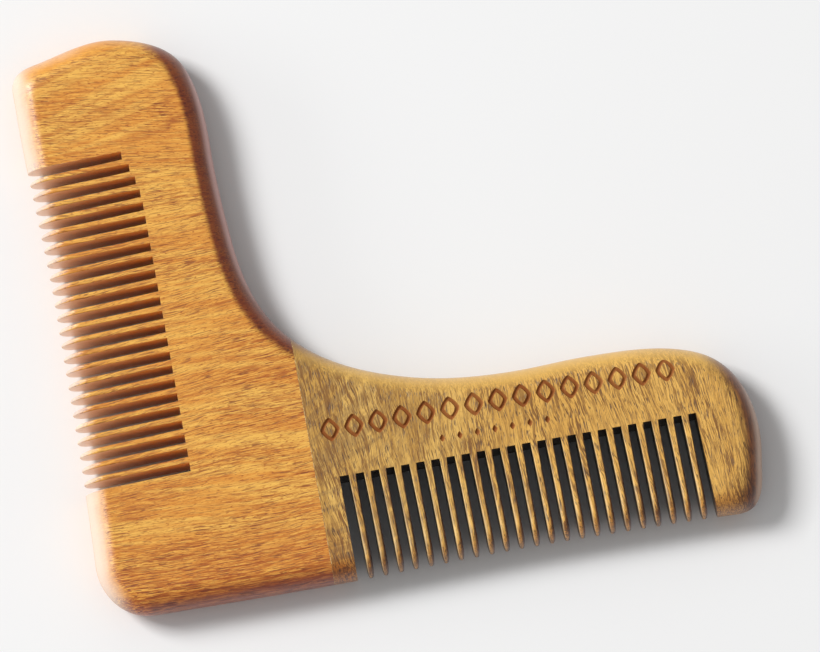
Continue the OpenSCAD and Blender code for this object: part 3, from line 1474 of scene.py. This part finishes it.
@dataclass(frozen=True)
class HoneyWood(Wood):
    """The upright board: warm honey gold with red-brown streaks and dashes that cross the arm."""

    name: str = "honey_wood"
    painted_sheen_strength: float = 0.62
    row: ToothRow = UPRIGHT_ROW
    # Painted light on the slot walls, pale out to the tips.
    painted_wall_root: Colour = srgb(255, 186, 92)
    painted_wall_tip: Colour = srgb(255, 226, 200)
    # hem: painted shade on the bottom rounded edge.
    hem: Colour = srgb(206, 118, 34)
    tooth_shade: float = 0.0
    light: Colour = srgb(242, 186, 84)
    base: Colour = srgb(224, 150, 56)
    deep: Colour = srgb(198, 114, 36)
    streak: Colour = srgb(160, 78, 18)
    dash: Colour = srgb(120, 50, 8)

    def figure(self, graph: Graph, x: Link, y: Link, z: Link) -> tuple[Link, Link]:
        """Lay the figure of the upright board.

        Args:
            graph: The material's graph.
            x: Position along X in millimetres.
            y: Position along Y.
            z: Position along Z.

        Returns:
            Colour and height.
        """
        # The grain bends slowly, and its slope changes up the arm.
        slow = noise(graph, graph.vector(x * 0.035, y * 0.04, z * 0.04), 1.0) - 0.5
        wave = noise(graph, graph.vector(x * 0.11, y * 0.3, z * 0.1 + 7), 1.0) - 0.5
        slope = 0.02 - y.ease(-38, -22) * 0.1 + y.ease(0, 38) * 0.25
        across = y + (x + 40) * slope + slow * 3 + wave * 0.7
        # The block above the teeth shows rising rings; the foot is darker and busier.
        block = y.ease(30, 36)
        ring = y - (x + 46) * 0.25 * block + (x + 40) * 0.1 * (1 - block) + slow * 4
        low = 1 - y.ease(-52, -36)
        busy = noise(graph, graph.vector(x * 0.06 + 2, across * 0.17, z * 0.1), 2.0, 0.5)
        busy = (busy.ease(0.36, 0.64) * 0.45 + 0.15 + low * 0.45).least(1.0)
        # The figure's layers, from the broadest to the finest.
        bands = noise(graph, graph.vector(x * 0.015, ring * 0.42, z * 0.15), 2.0, 0.55)
        streaks = noise(graph, graph.vector(x * 0.05, across * 1.3, z * 0.6), 3.0, 0.6)
        lines = noise(graph, graph.vector(x * 0.12 + 3, across * 3.0, z * 1.5), 3.0, 0.7)
        fibres = noise(graph, graph.vector(x * 0.35, across * 6.0, z * 3.0), 2.0, 0.6)
        pores = noise(graph, graph.vector(x * 0.3 + 9, across * 4.4, z * 3.0), 1.5, 0.6)
        ticks = noise(graph, graph.vector(x * 1.1, across * 7.0 + 31, z * 4.0), 1.0)
        colour = graph.blend(bands.ease(0.4, 0.6), self.base, self.light)
        colour = graph.blend((bands.ease(0.6, 0.72) * 0.5 + low * 0.45).held(), colour, self.deep)
        colour = graph.blend(streaks.ease(0.46, 0.64) * (0.42 - block * 0.12 + low * 0.4), colour,
                             self.deep)
        colour = graph.blend(streaks.ease(0.58, 0.68) * (0.25 + low * 0.5), colour, self.streak)
        growth = noise(graph, graph.vector(x * 0.012 + 5, ring * 0.8, z * 0.2), 3.0, 0.6)
        colour = graph.blend(growth.ease(0.5, 0.7) * block * 0.55, colour, self.streak)
        colour = graph.blend(lines.ease(0.49, 0.58) * (0.95 - block * 0.45) * busy, colour,
                             self.streak)
        colour = graph.blend((1 - lines).ease(0.54, 0.66) * 0.6, colour, self.light)
        colour = graph.blend(fibres.ease(0.5, 0.58) * 0.9 * busy, colour, self.streak)
        colour = graph.blend((1 - fibres).ease(0.55, 0.63) * 0.55, colour, self.light)
        colour = graph.blend(pores.ease(0.58, 0.63) * (busy * 0.6 + 0.4), colour, self.dash)
        colour = graph.blend(ticks.ease(0.6, 0.66) * 0.75, colour, self.streak)
        # Painted shade: the bottom rounded edge darker.
        colour = graph.blend((1 - (y + bands * 1.5).ease(-51.2, -47.2)) * 0.7, colour,
                             self.hem, "MULTIPLY")
        relief = fibres * 0.4 + (1 - pores.ease(0.57, 0.7)) * 0.6
        return colour, relief


@dataclass(frozen=True)
class OliveWood(Wood):
    """The level board: khaki brown with short fuzzy streaks that stand nearly upright."""

    name: str = "olive_wood"
    row: ToothRow = LEVEL_ROW
    shade_and_pore_brown: Colour = srgb(138, 90, 52)
    shade_range: Point2 = (0.18, 0.62)
    calming: float = 0.3
    crest_highlight: float = 0.6
    rim_reflection: Colour = srgb(186, 150, 124)
    # Painted shade on the slot walls, near black at the roots.
    painted_wall_root: Colour = srgb(44, 24, 12)
    painted_wall_tip: Colour = srgb(104, 62, 28)
    tooth_shade: float = 1.0
    painted_sheen: Colour = srgb(250, 222, 164)
    # Painted shade: the slot ends near black.
    painted_slot_end: Colour = srgb(26, 14, 8)
    # hem: darker on the strip left of the slots, and painted shade on the bottom rounded edge.
    hem: Colour = srgb(200, 150, 90)
    light: Colour = srgb(228, 182, 94)
    base: Colour = srgb(198, 150, 68)
    golden: Colour = srgb(244, 184, 84)
    grey: Colour = srgb(146, 112, 64)
    streak: Colour = srgb(130, 86, 36)
    dash: Colour = srgb(80, 50, 20)

    def figure(self, graph: Graph, x: Link, y: Link, z: Link) -> tuple[Link, Link]:
        """Lay the figure of the level board.

        Args:
            graph: The material's graph.
            x: Position along X in millimetres.
            y: Position along Y.
            z: Position along Z.

        Returns:
            Colour and height.
        """
        # The grain stands nearly upright, and its lean changes along the arm.
        slow = noise(graph, graph.vector(x * 0.05, y * 0.04, z * 0.05), 1.0) - 0.5
        wave = noise(graph, graph.vector(x * 0.25, y * 0.16, z * 0.1 + 5), 1.0) - 0.5
        lean = x.ease(-14, 8) * 0.12 - x.ease(14, 34) * 0.16 + x.ease(50, 58) * 0.1 - 0.1
        across = x - (y + 10) * lean + slow * 2 + wave * 1.2
        # Rings round a knot near the seam fade out along the arm.
        from_knot = ((x + 30) * (x + 30) + (y - 4) * (y - 4)).root() + slow * 5 + wave * 0.8
        arcs = noise(graph, graph.vector(from_knot * 0.8, x * 0.04, z * 0.2), 2.0, 0.6)
        arc_zone = 1 - x.ease(-10, 4) * 0.75
        busy = noise(graph, graph.vector(across * 0.2 + 4, y * 0.07, z * 0.1), 2.0, 0.5)
        busy = (busy.ease(0.36, 0.64) * 0.6 + 0.4).least(1.0)
        # The figure's layers, from the broadest to the finest.
        bands = noise(graph, graph.vector(across * 0.22, y * 0.03, z * 0.1), 2.0)
        lines = noise(graph, graph.vector(across * 2.2 + 3, y * 0.13, z * 1.0), 3.0, 0.65)
        fibres = noise(graph, graph.vector(across * 5.0, y * 0.36, z * 2.5), 2.0, 0.65)
        pores = noise(graph, graph.vector(across * 4.4 + 9, y * 0.45, z * 3.0), 1.5, 0.6)
        mottle = noise(graph, graph.vector(x * 2.0, y * 1.4, z * 1.4), 3.0, 0.7)
        colour = graph.blend(bands.ease(0.4, 0.6), self.base, self.light)
        colour = graph.blend(x.ease(0, 25) * 0.5, colour, self.golden)
        colour = graph.blend(arcs.ease(0.42, 0.62) * arc_zone * 0.6, colour, self.grey)
        colour = graph.blend(lines.ease(0.49, 0.58) * 0.95 * busy, colour, self.streak)
        colour = graph.blend((1 - lines).ease(0.55, 0.68) * 0.5, colour, self.light)
        colour = graph.blend(fibres.ease(0.5, 0.58) * 0.95 * busy, colour, self.streak)
        colour = graph.blend(mottle.ease(0.52, 0.7) * 0.3, colour, self.streak)
        colour = graph.blend(pores.ease(0.59, 0.64) * 0.8, colour, self.dash)
        # Darker on the strip between the seam and the first slot, and painted shade on the bottom
        # rounded edge.
        strip = (1 - x.ease(-17, -14)) * (1 - y.ease(-51, -36))
        foot = 1 - (y + mottle * 2).ease(-49.6, -46.5)
        colour = graph.blend((strip * 0.5 + foot * 0.6).held(), colour, self.hem, "MULTIPLY")
        relief = fibres * 0.4 + (1 - pores.ease(0.57, 0.7)) * 0.6
        return colour, relief


@dataclass(frozen=True)
class Scorch:
    """The floor of the engraving, browned by the cutting heat."""

    name: str = "scorched_olive"
    deep: Colour = srgb(140, 80, 36)
    pale: Colour = srgb(206, 150, 84)

    def build(self) -> bpy.types.Material:
        """Make the material.

        Returns:
            The material.
        """
        material, graph, shader = start_material(self.name)
        x, y, z = graph.split(place_mm(graph))
        grain = noise(graph, graph.vector(x * 4.0, y * 0.6, z * 2.0), 2.0)
        sunk = ((OUTLINE.thickness - z) / 0.4).held()
        colour = graph.blend((sunk * 0.9 + grain * 0.5 - 0.15).held(), self.pale, self.deep)
        bump = graph.node("ShaderNodeBump", None,
                          {"Strength": 0.2, "Distance": 0.0001, "Height": grain})
        plug(graph, shader, {"Base Color": colour, "Roughness": 0.6 + grain * 0.15,
                             "Specular IOR Level": 0.15, "Normal": bump})
        return material


@dataclass(frozen=True)
class Glue:
    """Set wood glue: amber, slightly cloudy."""

    name: str = "set_glue"
    clear: Colour = srgb(150, 104, 52)
    cloudy: Colour = srgb(214, 184, 130)

    def build(self) -> bpy.types.Material:
        """Make the material.

        Returns:
            The material.
        """
        material, graph, shader = start_material(self.name)
        x, y, z = graph.split(place_mm(graph))
        cloud = noise(graph, graph.vector(x * 2, y * 1.4, z * 1.4), 3.0)
        colour = graph.blend(cloud.ease(0.45, 0.65), self.clear, self.cloudy)
        bump = graph.node("ShaderNodeBump", None,
                          {"Strength": 0.2, "Distance": 0.0001, "Height": cloud})
        plug(graph, shader, {"Base Color": colour, "Roughness": 0.3 + cloud * 0.2,
                             "Normal": bump})
        return material


@dataclass(frozen=True)
class Birch:
    """The dowels: pale straight-grained birch with fine flecks along their length."""

    name: str = "birch"
    pale: Colour = srgb(232, 206, 160)
    fleck: Colour = srgb(176, 132, 84)

    def build(self) -> bpy.types.Material:
        """Make the material.

        Returns:
            The material.
        """
        material, graph, shader = start_material(self.name)
        x, y, z = graph.split(place_mm(graph))
        grain = noise(graph, graph.vector(x * 0.2, y * 3.5, z * 3.5), 3.0)
        flecks = noise(graph, graph.vector(x * 0.8, y * 6.0, z * 6.0), 1.0)
        shade = (grain.ease(0.4, 0.7) * 0.6 + flecks.ease(0.6, 0.75) * 0.4).held()
        bump = graph.node("ShaderNodeBump", None,
                          {"Strength": 0.3, "Distance": 0.0002, "Height": grain})
        plug(graph, shader, {"Base Color": graph.blend(shade, self.pale, self.fleck),
                             "Roughness": 0.6 + grain * 0.15, "Normal": bump})
        return material


# ---------------------------------------------------------------- studio

@dataclass(frozen=True)
class Softbox:
    """A rectangular light aimed at a point, in millimetres."""

    name: str
    azimuth: float
    elevation: float
    distance: float
    size: Point2
    strength: float
    target: Point3 = (0.0, 0.0, 5.0)

    def build(self) -> None:
        """Hang the light."""
        light = bpy.data.lights.new(self.name, "AREA")
        light.shape = "RECTANGLE"
        light.size, light.size_y = self.size[0] * MM, self.size[1] * MM
        light.energy = self.strength
        lamp = put(self.name, light)
        turn, rise = math.radians(self.azimuth), math.radians(self.elevation)
        away = Vector((math.cos(rise) * math.cos(turn), math.cos(rise) * math.sin(turn),
                       math.sin(rise)))
        lamp.location = (Vector(self.target) + away * self.distance) * MM
        lamp.rotation_euler = away.to_track_quat("Z", "Y").to_euler()


@dataclass(frozen=True)
class Studio:
    """The pale floor, the lights and the camera."""

    tilt: float = 8.0
    roll: float = 10.2
    target: Point3 = (2.40, -8.47, 5.0)
    view_width: float = 147.75
    lens: float = 600.0
    sensor: float = 36.0
    floor_size: float = 3000.0
    floor_colour: Colour = (0.86, 0.86, 0.86)
    sky: float = 0.40
    lamps: tuple[Softbox, ...] = (
        Softbox("key", azimuth=145.0, elevation=45.0, distance=3600.0,
                size=(1250.0, 1250.0), strength=113.0),
        Softbox("left_sheen", azimuth=168.0, elevation=18.0, distance=2800.0,
                size=(2000.0, 640.0), strength=14.0),
    )

    def floor(self) -> None:
        """Lay the floor."""
        half = self.floor_size / 2 * MM
        mesh = bpy.data.meshes.new("floor")
        mesh.from_pydata([(x * half, y * half, 0.0)
                          for x, y in ((-1, -1), (1, -1), (1, 1), (-1, 1))], [], [(0, 1, 2, 3)])
        material, graph, shader = start_material("floor_paper")
        plug(graph, shader, {"Base Color": self.floor_colour, "Roughness": 1.0,
                             "Specular IOR Level": 0.0})
        mesh.materials.append(material)
        floor = put("floor", mesh)

    def camera(self) -> None:
        """Set the camera."""
        data = bpy.data.cameras.new("camera")
        data.lens, data.sensor_width, data.sensor_fit = self.lens, self.sensor, "HORIZONTAL"
        data.clip_end = 20.0
        camera = put("camera", data)
        tilt, roll = math.radians(self.tilt), math.radians(self.roll)
        right = Vector((math.cos(roll), -math.sin(roll), 0))
        back = Vector((-math.sin(roll) * math.sin(tilt), -math.cos(roll) * math.sin(tilt),
                       math.cos(tilt)))
        up = back.cross(right)
        away = self.view_width * self.lens / self.sensor
        place = (Vector(self.target) + back * away) * MM
        turn = Matrix((right, up, back)).transposed().to_4x4()
        camera.matrix_world = Matrix.Translation(place) @ turn
        bpy.context.scene.camera = camera

    def build(self) -> None:
        """Set the whole studio."""
        self.floor()
        self.camera()
        world = bpy.data.worlds.new("studio")
        bpy.context.scene.world = world
        world.use_nodes = True
        background = world.node_tree.nodes["Background"]
        background.inputs["Color"].default_value = (1, 1, 1, 1)
        background.inputs["Strength"].default_value = self.sky
        for lamp in self.lamps:
            lamp.build()
        bpy.context.scene.view_settings.view_transform = "Standard"


def main() -> None:
    """Build the comb and its studio, and note the sizes."""
    logging.basicConfig(level=logging.INFO, format="%(name)s: %(message)s")
    lozenges = EngravedRow(Motif.LOZENGE, count=15, ends=(-15.2, 46.0), height=-25.1,
                           size=(3.6, 4.4))
    diamonds = EngravedRow(Motif.DIAMOND, count=7, ends=(4.4, 23.6), height=-30.2,
                           size=(1.0, 1.4), seed=5, steps_around=24, steps_across=4)
    boards = (
        Board("upright_board_wood", node="upright_board", slot="honey_wood",
              row=UPRIGHT_ROW, side=-1, finish=HoneyWood()),
        Board("level_board_wood", node="level_board", slot="olive_wood",
              row=LEVEL_ROW, side=1, finish=OliveWood(), engraving=(lozenges, diamonds)),
    )
    for board in boards:
        board.build()
    GlueFilm().build()
    birch = Birch().build()
    for name in ("dowel_upper", "dowel_lower"):
        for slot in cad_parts[name].material_slots:
            slot.material = birch
        LOG.info("%s: birch", name)
    Studio().build()


if __name__ == "__main__":
    main()
